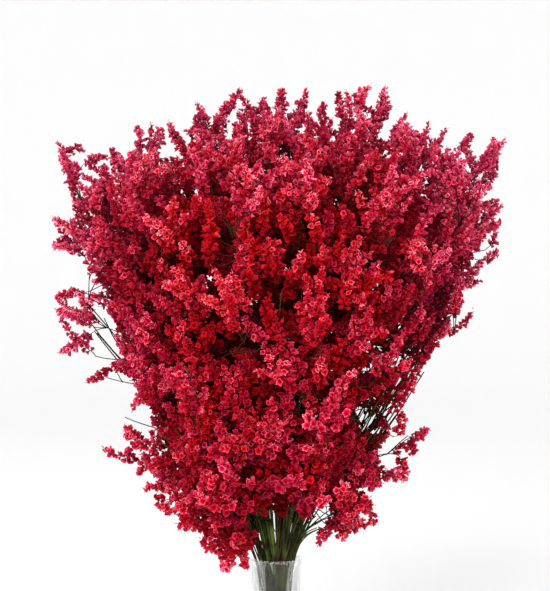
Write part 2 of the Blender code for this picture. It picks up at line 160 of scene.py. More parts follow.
# Where each tail that stands clear in the outline starts and ends, how far behind or in front of the
# middle, and how much closer than on other tails its florets stand
OUTLINE_TAILS = np.array((
    (-212, 405, -194, 410), (-198, 367, -208, 397), (-192, 393, -169, 401), (-158, 387, -164, 409),
    (-134, 405, -138, 431), (-123, 405, -116, 429), (-54, 439, -35, 468), (-21, 439, -11, 458),
    (7, 445, 4, 468), (34, 431, 24, 445), (45, 431, 47, 453), (65, 439, 62, 465), (83, 447, 85, 468),
    (107, 435, 112, 455), (183, 405, 194, 423), (202, 383, 188, 410), (208, 389, 218, 419),
    (220, 385, 226, 415), (201, 365, 215, 372), (211, 351, 225, 356), (205, 333, 217, 347),
    (207, 327, 225, 334), (214, 311, 219, 323), (208, 297, 223, 304), (-184, 231, -221, 248),
    (-184, 224, -217, 204), (-183, 243, -198, 266), (-164, 260, -189, 259), (-162, 276, -182, 276),
    (-142, 183, -164, 193), (-127, 103, -136, 82), (-104, 71, -131, 69), (-120, 63, -105, 45),
    (-75, 36, -97, 28), (-69, 44, -64, 22), (-46, 4, -75, 18), (-42, 3, -54, -11), (-36, 12, -30, -10),
    (-44, 37, -36, 12), (63, 40, 42, 13), (80, 45, 79, 26), (87, 52, 100, 35), (136, 120, 153, 128),
    (135, 120, 136, 103), (124, 100, 128, 76), (121, 121, 126, 147), (-190, 319, -223, 340),
    (-194, 307, -223, 311), (-193, 264, -223, 259), (-163, 187, -189, 175), (-119, 174, -144, 147),
    (-62, 425, -48, 455), (-85, 418, -73, 446), (-128, 114, -151, 131),
)) / 1000
OUTLINE_DEPTH = 0.030
HEM = 0.020
CLEAR_FULL = 1.5

# Middle and radius of the patches of open air that only these tails may cross
OPEN_AIR = np.array((
    (-202, 285, 22), (-198, 197, 14), (-172, 155, 18), (-164, 227, 16), (-96, 405, 14), (144, 157, 20),
    (161, 192, 15), (206, 262, 13),
)) / 1000

# Where the long bare twigs that cross the two flanks start and end
FLANK_TWIGS = np.array((
    (76, 89, 154, 207), (86, 127, 126, 159), (79, 133, 106, 152), (90, 111, 123, 187), (84, 127, 121, 202),
    (76, 117, 127, 212), (92, 105, 144, 212), (96, 111, 152, 212), (120, 197, 162, 254),
    (112, 195, 154, 254), (69, 95, 132, 185), (102, 105, 148, 185), (74, 105, 136, 205),
    (98, 119, 160, 225), (64, 77, 116, 169), (80, 95, 142, 196), (108, 137, 170, 239), (88, 87, 128, 152),
    (54, 57, 96, 105), (60, 51, 110, 87), (-124, 165, -186, 235), (-130, 159, -181, 225),
    (-126, 153, -179, 224), (-132, 171, -154, 227), (-120, 159, -172, 239), (-126, 177, -192, 257),
)) / 1000

# Left, right and top, from the middle of the mouth, of the stretch of stems that no tail hides
BARE_STEMS = (-0.030, 0.058, 0.062)

# Left and right of the middle, and heights above the mouth, of the two flanks where tails are few
THIN_FLANK = (-0.145, 0.086, 0.090, 0.235)
FLANK_BARENESS = 0.8

# Least depth below the bunch's surface of the end of a tail's twig
ROOT_DEPTH = 0.018

# Depth below the bunch's surface over which the flowers fall into shade
SHADE_DEPTH = 0.140

# Layers of tails that fill the canopy: least and most depth below its surface, floret size if it isn't
# the usual one, and light, which paints the deeper layers darker as painted shade
LAYERS = ((0.003, 0.036, None, 1.0), (0.034, 0.110, 1.24, 0.80), (0.090, 0.220, 1.75, 0.40))

# Places of the dye's colours from a floret's root to its edge, the first of them painted shade deep in its
# throat, and the magenta ones from the throat out
DYE_AND_THROAT_SHADE_PLACES = (0.0, 0.26, 0.66, 1.0)
MAGENTA = ("#9A042C", "#C80E42", "#E04874")

# What a floret's tone is made of: what all have, what its tail adds and what it adds itself, and the
# share that is left of it at a tail's root, deeper in the bunch, which is painted shade
TONE = (0.28, 0.30, 0.48)
PAINTED_ROOT_SHADE = 0.66

# Where the dye turns magenta: from where, over how far and how much, at the sides and at the top, and
# how much in front low down and in a stray tail
SIDE_PINK = (0.09, 0.10, 0.65)
TOP_PINK = (0.33, 0.11, 0.7)
LOW_PINK = 0.3
STRAY_PINK = 0.5

# How much slimmer than the frame's rods a main stem, a head's axis and a spike's twig are, and how much
# of the twig's bow is taken out
STEM_SLIMNESS = 0.56
AXIS_SLIMNESS = (0.8, 0.5)
TWIG_SLIMNESS = (0.62, 0.4)
EASED_BOW = 0.75

# Camera, at the height and distance from which the photograph sees the vase's mouth
EYE = Vector((-0.001, -1.35, 0.4515))
LENS_MM = 82.2


# Lines and where the flowers reach

def direction(polar, azimuth):
    """Unit vector at an angle from upright, turned about the vase's axis."""
    return Vector((math.sin(polar) * math.cos(azimuth), math.sin(polar) * math.sin(azimuth), math.cos(polar)))


def reach_at(polar, rightness):
    """How far the flowers reach from the middle of the mouth, with rightness the azimuth's cosine."""
    right, left = (np.interp(polar, REACH_ANGLES, side) for side in (REACH_RIGHT, REACH_LEFT))
    return left + (right - left) * (0.5 + 0.5 * rightness)


def reach(polar, azimuth):
    return float(reach_at(polar, math.cos(azimuth)))


def surface_shares(steps=400):
    """The share of the bunch's outer surface that lies above each angle from upright, and the angles."""
    polar = np.linspace(0, REACH_ANGLES[-1], steps)
    right, left = (np.interp(polar, REACH_ANGLES, side) for side in (REACH_RIGHT, REACH_LEFT))
    far = (right + left) / 2
    out, up = far * np.sin(polar), far * np.cos(polar)
    band = np.hypot(np.diff(out), np.diff(up)) * (out[1:] + out[:-1])
    share = np.concatenate([[0], np.cumsum(band)])
    return share / share[-1], polar


SURFACE = surface_shares()


def polar_of_share(share):
    """The angle from upright above which that share of the surface lies."""
    return float(np.interp(share, *SURFACE))


def bezier(a, b, c, d, t):
    s = 1 - t
    return a * s**3 + b * (3 * s * s * t) + c * (3 * s * t * t) + d * t**3


def point_at(points, lengths, s):
    """The point and the heading at a distance s along a line of points."""
    k = int(np.clip(np.searchsorted(lengths, s, side="right") - 1, 0, len(points) - 2))
    share = (s - lengths[k]) / (lengths[k + 1] - lengths[k])
    heading = (points[k + 1] - points[k]).normalized()
    return points[k].lerp(points[k + 1], float(np.clip(share, 0, 1))), heading


# Distances between round-ended rods, which keep the sprays clear of each other

def rod_gaps(a, b, radius, starts, ends, radii):
    """Gap from one rod, a to b, to each of many rods."""
    a, b = np.array(a), np.array(b)
    d1, d2 = b - a, ends - starts
    r = a - starts
    e1, e2 = float(d1 @ d1) + 1e-12, (d2 * d2).sum(1) + 1e-12
    f, c, along = (d2 * r).sum(1), r @ d1, d2 @ d1
    slack = e1 * e2 - along * along
    s = np.where(slack > 1e-12, np.clip((along * f - c * e2) / np.maximum(slack, 1e-12), 0, 1), 0)
    t = np.clip((along * s + f) / e2, 0, 1)
    s = np.clip((along * t - c) / e1, 0, 1)
    apart = (a + d1 * s[:, None]) - (starts + d2 * t[:, None])
    return np.sqrt((apart * apart).sum(1)) - radius - radii


class Rods:
    """The rods placed so far, a row each: start, end, radius and the stem that owns it."""

    def __init__(self):
        self.rows = np.zeros((0, 8))

    def add(self, rods, owner):
        self.rows = np.vstack([self.rows] + [[(*a, *b, radius, owner)] for a, b, radius in rods])

    def gap(self, rods, owner, own=False):
        """The least gap from these rods to what other stems own, or to what their own stem does."""
        rows = self.rows[(self.rows[:, 7] == owner) == own]
        if not len(rows):
            return math.inf
        starts, ends, radii = rows[:, 0:3], rows[:, 3:6], rows[:, 6]
        return min(rod_gaps(a, b, radius, starts, ends, radii).min() for a, b, radius in rods)


def line_rods(points, radius):
    return [(p, q, radius) for p, q in zip(points, points[1:])]


def spike_rods(base, tip, radius):
    """Three rods that hold a spike, whose florets are widest at its middle."""
    along = tip - base
    return [
        (base + along * 0.10, base + along * 0.30, radius * 0.86),
        (base + along * 0.36, base + along * 0.58, radius),
        (base + along * 0.58, base + along * 0.90, radius * 0.76),
    ]


# Stems, from their cut ends in the vase to the ends of their heads

def end_room(full):
    """How much of the reach is left for the spike at a stem's end."""
    return min(0.075, 0.42 * full)


def stem_line(index):
    """One whole stem's points, the distances along it, and those of its waist and first fork."""
    share = (index + 0.5) / STEM_COUNT
    rank = math.sqrt(share)
    azimuth = index * GOLDEN_ANGLE + 0.6
    polar = polar_of_share(share * OUTERMOST_SHARE)
    side = Vector((math.cos(azimuth), math.sin(azimuth), 0))
    waist = MOUTH + side * (rank * WAIST_SPREAD) - Vector((0, 0, WAIST_BELOW_MOUTH))
    over_mouth = MOUTH + side * (rank * MOUTH_SPREAD)
    start = (over_mouth - waist).normalized()
    full = reach(polar, azimuth)
    end = MOUTH + direction(polar, azimuth) * (full - end_room(full))
    end_heading = direction(min(polar * 1.2, math.radians(98)), azimuth)
    span = (end - waist).length
    out_of_vase = waist + start * (STRAIGHT_OUT + 0.16 * max(span - 0.08, 0))
    into_head = end - end_heading * (0.36 * span)
    steps = STEM_STEPS_ABOVE
    upper = [bezier(waist, out_of_vase, into_head, end, k / steps) for k in range(steps + 1)]

    turned = azimuth - STEM_TWIST
    cut_end = Vector((math.cos(turned), math.sin(turned), 0)) * (rank * CUT_END_SPREAD)
    cut_end.z = GLASS_FLOOR + MEETING_GAP
    lower_lean = waist - start * 0.055
    foot_lean = cut_end + Vector((0, 0, 0.045))
    steps = STEM_STEPS_IN_VASE
    points = [bezier(cut_end, foot_lean, lower_lean, waist, k / steps) for k in range(steps)] + upper
    lengths = np.concatenate([[0], np.cumsum([(q - p).length for p, q in zip(points, points[1:])])])
    waist_at = float(lengths[steps])
    above = float(lengths[-1]) - waist_at - WAIST_BELOW_MOUTH
    return points, lengths, waist_at, waist_at + WAIST_BELOW_MOUTH + 0.012 + FORK_SHARE * above


def resampled(points, lengths, start, end, longest):
    """Evenly spaced points along a stretch of a line, no further apart than longest."""
    count = max(1, math.ceil((end - start) / longest))
    return [point_at(points, lengths, start + (end - start) * k / count)[0] for k in range(count + 1)]


# The frame's spikes, placed by the same rule and the same draws as its solids

def over_stems(point, patch):
    """True for a point within a patch's left, right and top, just above the mouth."""
    left, right, top = patch
    return left < point[0] < right and point[2] < MOUTH.z + top


def flower_tips():
    """The end and the relative size of every spike, all over the bunch's surface."""
    draw = random.Random(SEED)
    tips = []
    for out, up in SKYLINE_TIPS:
        depth = draw.uniform(-SKYLINE_DEPTH, SKYLINE_DEPTH) * min(1, abs(up) / 0.1)
        tips.append((MOUTH + Vector((out, depth, up)), SKYLINE_SPIKE))
    for k in range(SPIKE_COUNT):
        polar = polar_of_share((k + 0.5) / SPIKE_COUNT) + draw.uniform(-0.05, 0.05)
        azimuth = k * GOLDEN_ANGLE + draw.uniform(-0.12, 0.12)
        inner = k % INNER_EVERY == INNER_EVERY - 1
        full = reach(polar, azimuth)
        inset = min(draw.uniform(*(INNER_DEPTH if inner else OUTER_DEPTH)), 0.35 * full)
        tip = MOUTH + direction(max(polar, 0.02), azimuth) * (full - inset)
        roomy = all((tip - other).length > SKYLINE_ROOM for other, _ in tips[: len(SKYLINE_TIPS)])
        if roomy and not (tip.y < 0 and over_stems(tip, BARE_FRONT)):
            tips.append((tip, 1.0))
    return tips


def twig_curve(stem, base, heading):
    """The four handles of a twig, which leans off the stem and curves into the spike."""
    points, lengths, _, fork_at = stem
    away = [(p - base).length for p in points]
    nearest = int(np.argmin(away))
    leave = np.clip(lengths[nearest] - 0.85 * away[nearest], fork_at + 0.006, lengths[-1] - END_TWIG - 0.004)
    root, way = point_at(points, lengths, leave)
    span = (base - root).length
    return root, root + way * (0.38 * span), base - heading * (0.34 * span), base


def clear_of_vase(rods):
    """True if the rods keep off the lip and the outside of the neck."""
    for a, b, radius in rods:
        for share in (0, 0.5, 1):
            p = Vector(a).lerp(Vector(b), share)
            over = max(p.z - radius - VASE_HEIGHT, 0)
            out = max(math.hypot(p.x, p.y) - radius - MOUTH_RADIUS, 0)
            if math.hypot(over, out) < SPRAY_CLEARANCE:
                return False
    return True


class Bunch:
    """The stems' lines, and for each the (twig handles, tip, radius) of its large spikes."""

    def __init__(self):
        self.stems = [stem_line(k) for k in range(STEM_COUNT)]
        self.spikes = [[] for _ in self.stems]
        self.rods, self.own_spikes = Rods(), Rods()
        for k, (points, lengths, _, fork_at) in enumerate(self.stems):
            bare = resampled(points, lengths, 0, fork_at, 0.02)
            head = resampled(points, lengths, fork_at, lengths[-1], 0.02)
            self.rods.add(line_rods(bare, STEM_RADIUS), BARE_STEM)
            self.rods.add(line_rods(head, STEM_TIP_RADIUS), k)

    def place(self, owner, handles, tip, radius):
        """Place a spike and its twig, if they find room, and say whether they did."""
        twig = [bezier(*handles, k / 2) for k in range(3)]
        spike = spike_rods(twig[-1], tip, radius)
        rods = line_rods(twig, TWIG_RADIUS) + spike
        if not clear_of_vase(spike) or self.rods.gap(rods, owner) < SPRAY_CLEARANCE:
            return False
        if self.own_spikes.gap(spike, owner, own=True) < -OWN_OVERLAP * radius:
            return False
        self.rods.add(rods, owner)
        self.own_spikes.add(spike, owner)
        self.spikes[owner].append((handles, tip, radius))
        return True

    def nearest_stems(self, tip):
        """The stems in order of their distance from a tip, with those that carry more set further back."""
        away = [min((p - tip).length for p in points[2 * STEM_STEPS_IN_VASE:]) for points, *_ in self.stems]
        return np.argsort([d + LOAD_STEP * len(own) for d, own in zip(away, self.spikes)])

    def end_stem(self, owner):
        """Give a stem the spike at its end, as large as there is room for."""
        points, lengths, _, _ = self.stems[owner]
        leave = float(lengths[-1]) - END_TWIG
        handles = [point_at(points, lengths, leave + END_TWIG * k / 3)[0] for k in range(4)]
        heading = (points[-1] - points[-2]).normalized()
        out = points[-1] - MOUTH
        full = reach(out.angle(Vector((0, 0, 1))), math.atan2(out.y, out.x))
        length = min(SPIKE_LENGTH, 0.92 * end_room(full))
        for attempt in range(TRIES):
            give = 1 - 0.7 * attempt / TRIES
            radius = SPIKE_RADIUS * give * min(1, length / SPIKE_LENGTH)
            if self.place(owner, handles, points[-1] + heading * (length * give), radius):
                return

    def side_spike(self, tip, size, draw):
        """Give a spike that ends at a tip to a stem nearby, smaller and tilted anew till it fits."""
        near = self.nearest_stems(tip)
        short = min(1, SHORTEST_SPIKE * (tip - MOUTH).length / SPIKE_LENGTH)
        most_tilt = SPIKE_TILT * (SKYLINE_TILT if size < 1 else 1)
        for attempt in range(TRIES):
            owner = int(near[attempt // 4 % 3])
            give = 1 - 0.4 * attempt / TRIES
            tilt = Vector([draw.gauss(0, 1) for _ in range(3)]).normalized() * most_tilt
            heading = ((tip - FAN_CENTRE).normalized() + tilt).normalized()
            length = SPIKE_LENGTH * draw.uniform(0.86, 1.08) * (0.5 + 0.5 * give) * (0.5 + 0.5 * size) * short
            radius = SPIKE_RADIUS * draw.uniform(0.90, 1.08) * give * size * (0.4 + 0.6 * short)
            handles = twig_curve(self.stems[owner], tip - heading * length, heading)
            if self.place(owner, handles, tip, radius):
                return

    def find_branches(self):
        """Note a point and a heading every few mm along the heads' axes and twigs, and the stem of each."""
        parts = []
        for (line, lengths, _, fork_at), large in zip(self.stems, self.spikes):
            places = np.arange(fork_at + 0.01, lengths[-1] - END_TWIG, 0.008)
            axis = np.array([point_at(line, lengths, s) for s in places])
            twigs = curves_at(np.array([handles for handles, _, _ in large]), np.linspace(0.3, 0.95, 5))
            parts.append(np.concatenate([axis, np.stack(twigs, axis=2).reshape(-1, 2, 3)]))
        self.branches = np.concatenate(parts)
        self.owners = np.repeat(np.arange(STEM_COUNT), [len(part) for part in parts])

    def nearest_twig(self, base):
        """The point and heading that a tail's twig can leave with the least bend, and its stem."""
        away = base - self.branches[:, 0]
        distance = np.linalg.norm(away, axis=1)
        behind = (away * self.branches[:, 1]).sum(1) / np.maximum(distance, 1e-6)
        best = int(np.argmin(distance + np.maximum(0.35 - behind, 0) * 0.09))
        return *self.branches[best], self.owners[best]


@functools.cache
def planned_bunch():
    """The whole bunch, worked out once: stems, the spikes at their ends, then those at their sides."""
    bunch = Bunch()
    for owner in range(STEM_COUNT):
        bunch.end_stem(owner)
    draw = random.Random(SEED + 1)
    for tip, size in flower_tips():
        bunch.side_spike(tip, size, draw)
    bunch.find_branches()
    return bunch


# Arrays of vectors

MOUTH_POINT, FAN_POINT, EYE_POINT = (np.array(v) for v in (MOUTH, FAN_CENTRE, EYE))


def unit(v):
    return v / np.maximum(np.linalg.norm(v, axis=-1, keepdims=True), 1e-9)


def rise(value, start, over):
    """0 up to the start, and from there up to 1."""
    return np.clip((value - start) / over, 0, 1)


def stray(draw, count):
    """Random unit vectors."""
    return unit(draw.normal(size=(count, 3)))


def turned_side(axes, angle):
    """A direction square to each axis, at an angle about it."""
    across = unit(np.cross(axes, np.eye(3)[np.abs(axes).argmin(axis=-1)]))
    return across * np.cos(angle) + np.cross(axes, across) * np.sin(angle)


def points_along(line, lengths, places):
    """The points at many distances along a line, as an array."""
    return np.array([point_at(line, lengths, s)[0] for s in places])


def curves_at(handles, t):
    """Points and headings on many Bezier curves, handles (n, 4, 3), at the places t of each."""
    t = t[None, :, None]
    s = 1 - t
    a, b, c, d = (handles[:, None, k] for k in range(4))
    return bezier(a, b, c, d, t), unit((b - a) * (s * s) + (c - b) * (2 * s * t) + (d - c) * (t * t))


def ring_walls(index):
    """The faces between rings of points, whose numbers are (..., rings, points round each)."""
    after = np.roll(index, -1, axis=-1)
    corners = (index[..., :-1, :], after[..., :-1, :], after[..., 1:, :], index[..., 1:, :])
    return np.stack(corners, axis=-1).reshape(-1, 4)


def tube_rings(centres, headings, radii, sides, ribs=0.0):
    """Closed tubes through centres (n, k, 3), square to the headings: points, side faces, end faces.

    With ribs, every other side stands proud by that share.
    """
    count, steps = centres.shape[:2]
    guide = np.eye(3)[np.abs(unit(headings.mean(axis=1))).argmin(axis=1)][:, None]
    across = unit(guide - headings * (guide * headings).sum(-1, keepdims=True))
    up = np.cross(headings, across)
    turn = np.arange(sides) * (2 * math.pi / sides)
    wave = 1 + ribs * (np.arange(sides) % 2)
    arm = across[:, :, None] * np.cos(turn)[:, None] + up[:, :, None] * np.sin(turn)[:, None]
    radii = np.broadcast_to(radii, (count, steps))
    points = centres[:, :, None] + arm * (radii[..., None] * wave)[..., None]
    index = np.arange(count * steps * sides).reshape(count, steps, sides)
    return points.reshape(-1, 3), ring_walls(index), np.concatenate([index[:, 0, ::-1], index[:, -1]])


def tube_batch(handles, radii, sides):
    """Closed tubes along Bezier curves, with the same radii along each."""
    return tube_rings(*curves_at(handles, np.linspace(0, 1, len(radii))), radii, sides)


def turned_shape(profile, sides):
    """A shape turned on the vase's axis from its (radius, height): points, side faces, two end faces."""
    turn = np.arange(sides) * (2 * math.pi / sides)
    radius, height = np.array(profile).T[..., None]
    points = np.stack([radius * np.cos(turn), radius * np.sin(turn), height + 0 * turn], axis=-1)
    index = np.arange(len(profile) * sides).reshape(len(profile), sides)
    return points.reshape(-1, 3), ring_walls(index), index[:1, ::-1], index[-1:]


def arc(radius, height, size, start, end, steps):
    """The (radius, height) of points round part of a circle."""
    turn = np.linspace(start, end, steps)
    return [(radius + size * math.cos(a), height + size * math.sin(a)) for a in turn]


def joined(batches):
    """One array of points and one list of face arrays from several (points, faces, ...)."""
    starts = np.cumsum([0] + [len(batch[0]) for batch in batches])
    faces = [part + start for batch, start in zip(batches, starts) for part in batch[1:]]
    return np.concatenate([batch[0] for batch in batches]), faces


def build_mesh(name, points, faces, smooth):
    """A mesh from an array of points and a list of face arrays, each with its own number of corners."""
    mesh = bpy.data.meshes.new(name)
    mesh.from_pydata(points.tolist(), [], [face for part in faces for face in part.tolist()], not smooth)
    return mesh


def put(name, data):
    """A new object in the scene."""
    thing = bpy.data.objects.new(name, data)
    bpy.context.scene.collection.objects.link(thing)
    return thing


def paint(mesh, name, values):
    """Store one colour for each point of a mesh, for its material to read."""
    layer = mesh.attributes.new(name, "FLOAT_COLOR", "POINT")
    rgba = np.ones((len(values), 4), dtype=np.float32)
    rgba[:, :3] = values
    layer.data.foreach_set("color", rgba.ravel())


# Materials

def linear(hex_colour):
    """An sRGB hex colour as linear red, green, blue and alpha."""
    parts = [int(hex_colour[k:k + 2], 16) / 255 for k in (1, 3, 5)]
    return [p / 12.92 if p <= 0.04045 else ((p + 0.055) / 1.055) ** 2.4 for p in parts] + [1.0]


def new_material(name, values):
    """A node material, with these values on its Principled shader's own sockets."""
    material = bpy.data.materials.new(name)
    material.use_nodes = True
    for socket, value in values.items():
        material.node_tree.nodes["Principled BSDF"].inputs[socket].default_value = value
    return material


def feed(material, links):
    """Link nodes' outputs into a material's shader."""
    for socket, output in links.items():
        material.node_tree.links.new(output, material.node_tree.nodes["Principled BSDF"].inputs[socket])


def add_node(material, kind, settings, links):
    """Add a node, set its attributes and input values, link its inputs, and give its outputs."""
    node = material.node_tree.nodes.new("ShaderNode" + kind)
    for key, value in settings.items():
        if isinstance(key, str) and hasattr(node, key):
            setattr(node, key, value)
        else:
            node.inputs[key].default_value = value
    for key, output in links.items():
        material.node_tree.links.new(output, node.inputs[key])
    return node.outputs


def painted(material, name):
    """The red, green and blue of a colour stored on the mesh's points."""
    layer = add_node(material, "Attribute", {"attribute_name": name}, {})
    return add_node(material, "SeparateColor", {}, {0: layer["Color"]})


def ramp(material, number, places, colours):
    """A number turned into a run of hex colours, one at each place."""
    outputs = add_node(material, "ValToRGB", {}, {0: number})
    stops = outputs[0].node.color_ramp.elements
    while len(stops) < len(places):
        stops.new(0.5)
    for stop, place, colour in zip(stops, places, colours):
        stop.position = place
        stop.color = linear(colour)
    return outputs["Color"]


def noise(material, size_mm, detail):
    """Noise in the object's own space, whose features are that many millimetres across."""
    place = add_node(material, "TexCoord", {}, {})["Object"]
    return add_node(material, "TexNoise", {"Scale": 1000 / size_mm, "Detail": detail}, {0: place})["Fac"]


def bump(material, height, strength, depth):
    """The normal of a fine relief."""
    return add_node(material, "Bump", {"Strength": strength, "Distance": depth}, {"Height": height})["Normal"]


def ranged(material, number, low, high, new_low=0.0, new_high=1.0):
    """A number moved from one range into another."""
    settings = {"From Min": low, "From Max": high, "To Min": new_low, "To Max": new_high}
    return add_node(material, "MapRange", settings, {0: number})[0]


def product(material, first, second):
    return add_node(material, "Math", {"operation": "MULTIPLY"}, {0: first, 1: second})[0]


def mixed(material, share, first, second):
    """A colour turning into a second one, which may be a hex colour."""
    settings, links = {"data_type": "RGBA"}, {0: share, 6: first}
    if isinstance(second, str):
        settings[7] = linear(second)
    else:
        links[7] = second
    return add_node(material, "Mix", settings, links)[2]


def dyed_calyx_paper(florets):
    """Dried statice calyx: papery plant tissue, dip-dyed crimson, with painted shade in its throat and a
    paler edge, flecked partly with painted highlight.
    """
    material = new_material("dyed_calyx_paper", {"Roughness": 0.8, "Specular IOR Level": 0.02})
    to_edge, tone_and_shade, pink = painted(material, "petal")
    # The ramp's first colour, at the throat, is painted shade
    crimson = ramp(material, to_edge, DYE_AND_THROAT_SHADE_PLACES, (florets.throat, florets.body, florets.face, florets.rim))
    magenta = ramp(material, to_edge, DYE_AND_THROAT_SHADE_PLACES, (florets.throat, *MAGENTA))
    dye = mixed(material, pink, crimson, magenta)
    # Pleats and fibres of the dry calyx, about a millimetre apart
    fibre = noise(material, 1.1, 3.0)
    # Pale flecks at the edge, partly dried pale and partly painted highlight, on brightly painted florets
    dry_edge_and_glint = product(material, ranged(material, to_edge, 0.6, 1.0), ranged(material, fibre, 0.45, 0.56))
    pale = product(material, dry_edge_and_glint, ranged(material, tone_and_shade, 0.42, 1.0))
    # Each floret's own depth of dye and the painted shade in its tone, and a fine mottle over it
    shade = ranged(material, tone_and_shade, 0.0, 1.0, 0.16, 1.22)
    level = product(material, shade, ranged(material, fibre, 0.3, 0.7, 0.82, 1.14))
    flecks_and_glints_on_dye = mixed(material, pale, dye, florets.dry_fleck_and_glint)
    toned = add_node(material, "HueSaturation", {}, {"Color": flecks_and_glints_on_dye, "Value": level})["Color"]
    feed(material, {"Base Color": toned, "Normal": bump(material, fibre, 0.35, 0.0004)})
    return material


def dried_stalk(name, dark, light, brown, shine):
    """Dried flower stalk: woody fibre, matt, with fine ribs along it, green where it dried in the dark."""
    material = new_material(name, {"Roughness": 0.72, "Specular IOR Level": shine})
    # Lighter and darker patches, some 14 mm long, and brown where the stalk dried in the light
    greens = ramp(material, noise(material, 14, 4.0), (0.38, 0.74), (dark, light))
    aged = mixed(material, painted(material, "stalk")[0], greens, brown)
    # Fibre along the stalk, drawn about 0.7 mm wide so that it shows
    fibre = noise(material, 0.7, 2.0)
    feed(material, {"Base Color": aged, "Normal": bump(material, fibre, 0.5, 0.0003)})
    return material


def soda_lime_glass(vase):
    """Pressed soda-lime glass: clear, with slow waves where the mould chilled it.

    Its thin wall bends little light, so most of it passes straight through to the stems.
    """
    clear = {"Roughness": 0.02, "IOR": 1.52, "Transmission Weight": 1.0, "Alpha": 0.35}
    material = new_material("soda_lime_glass", {"Base Color": linear(vase.tint), **clear})
    # Mould waves, about 20 mm across
    feed(material, {"Normal": bump(material, noise(material, 20, 1.0), 0.12, 0.001)})
    return material


def seamless_paper(stage):
    """White studio paper: matt, even and swept up behind the object."""
    matt = {"Roughness": 0.9, "Specular IOR Level": 0.1}
    return new_material("seamless_paper", {"Base Color": linear(stage.paper), **matt})


# Settings

def hex_prop(name, description, default):
    return bpy.props.StringProperty(name=name, description=description, default=default)


def count_prop(name, description, default, low=0, high=3000):
    return bpy.props.IntProperty(name=name, description=description, default=default, min=low, max=high)


def measure_prop(name, description, default, low=0.0, **kind):
    return bpy.props.FloatProperty(name=name, description=description, default=default, min=low, **kind)


def length_prop(name, description, default):
    return measure_prop(name, description, default, 0.0001, subtype="DISTANCE", unit="LENGTH")


class StaticeFlorets(bpy.types.PropertyGroup):
    """Sizes and colours of the papery florets."""

    width: length_prop("Width", "Across a fine open floret", 0.0047)
    depth: length_prop("Depth", "From a floret's root to its edge", 0.0053)
    spacing: length_prop("Spacing", "Along a tail from one fine floret to the next", 0.00112)
    length: length_prop("Tail length", "Usual length of one tail", 0.042)
    sides: count_prop("Side tails", "Tails at the sides of a large spike", 5)
    slim_sides: count_prop("Slim side tails", "Tails at the sides of a slim spike in the outline", 2)
    outer: count_prop("Outer tails", "Tails that close the canopy", 520)
    # The inner and core tails get painted shade: their florets are painted darker by the light in LAYERS
    inner: count_prop("Inner tails", "Tails below the surface, in the shade", 1450)
    core: count_prop("Core tails", "Tails deep inside the bunch, in the dark", 520)
    # The throat's dark colour is painted shade deep in the floret's funnel
    throat: hex_prop("Throat", "Colour deep in a floret", "#380004")
    body: hex_prop("Body", "Colour round the throat", "#A8000A")
    face: hex_prop("Face", "Colour of the open face", "#DA060E")
    rim: hex_prop("Rim", "Colour of the edge", "#E61E2C")
    # Pale flecks at the edge: partly dried pale, partly painted highlight
    dry_fleck_and_glint: hex_prop("Fleck", "Colour where the edge dried pale", "#FFC4DA")


class StaticeStalks(bpy.types.PropertyGroup):
    """Sizes and colours of stems and twigs."""

    companions: count_prop("Companion stems", "Thin stems beside each main stem", 8)
    companion_radius: length_prop("Companion radius", "Radius of a thin stem", 0.0008)
    twig_radius: length_prop("Twig radius", "Radius of the twig that carries one tail", 0.00058)
    ribs: measure_prop("Ribs", "How far the stem's ribs stand proud, as a share of its radius", 0.16, max=2.0)
    dark: hex_prop("Dark green", "Darker green of the stems", "#0B1304")
    light: hex_prop("Light green", "Lighter green of the stems", "#566B2B")
    brown: hex_prop("Brown", "Where a stem dried brown", "#3E2E1A")


class StaticeVase(bpy.types.PropertyGroup):
    """The glass of the vase."""

    sides: count_prop("Sides", "Steps round the vase", 72, 24, 160)
    tint: hex_prop("Tint", "Colour of the glass", "#F3F7F6")


class StaticeStage(bpy.types.PropertyGroup):
    """Paper, lights and camera."""

    paper: hex_prop("Paper", "Colour of the studio paper", "#F8F8F8")
    world: measure_prop("Surrounding light", "Brightness of the white surroundings", 1.04, max=2.0)
    key: measure_prop("Key light", "Power of the large soft light", 75.0, unit="POWER")
    lens: measure_prop("Lens", "Focal length in mm", LENS_MM, 10.0)


# Tails: the slim curved ends of every spray, which the florets sit on

def in_box(points, inset=TIP_INSET):
    """Points held a little inside the frame's own box."""
    return np.clip(points, np.array(CAD_BOX[0]) + inset, np.array(CAD_BOX[1]) - inset)


def depth_below(point):
    """How far a point lies below the bunch's surface."""
    x, y, z = point - MOUTH_POINT
    return reach(math.atan2(math.hypot(x, y), z), math.atan2(y, x)) - math.sqrt(x * x + y * y + z * z)


def floret_size(base):
    """Florets low in the front open widest; the others are finer."""
    front = np.clip(0.55 - base[1] / 0.2, 0.3, 1)
    return 1 + LOW_OPENING * rise(base[2] - VASE_HEIGHT, 0.30, -0.22) * front


def in_thin_flank(tip):
    """True low on the left and right, where fewer tails let the bare twigs show."""
    left, right, low, high = THIN_FLANK
    return not left < tip[0] < right and low < tip[2] - VASE_HEIGHT < high


def in_open_air(base, tip):
    """True for a tail that the front view would show mostly in a patch of open air."""
    line = base + np.outer((0.3, 0.65, 1.0), tip - base) - EYE_POINT
    seen = EYE_POINT + line * (-EYE_POINT[1] / line[:, 1:2])
    out, up = seen[:, 0:1] - OPEN_AIR[:, 0], seen[:, 2:3] - VASE_HEIGHT - OPEN_AIR[:, 1]
    return (np.hypot(out, up) < OPEN_AIR[:, 2]).any(axis=1).sum() > 1


def seen_at(out, up, depth):
    """The point at a depth that the front view shows at a place right of the middle and above the mouth."""
    return EYE_POINT + (np.array((out, 0, VASE_HEIGHT + up)) - EYE_POINT) * (1 - depth / EYE_POINT[1])


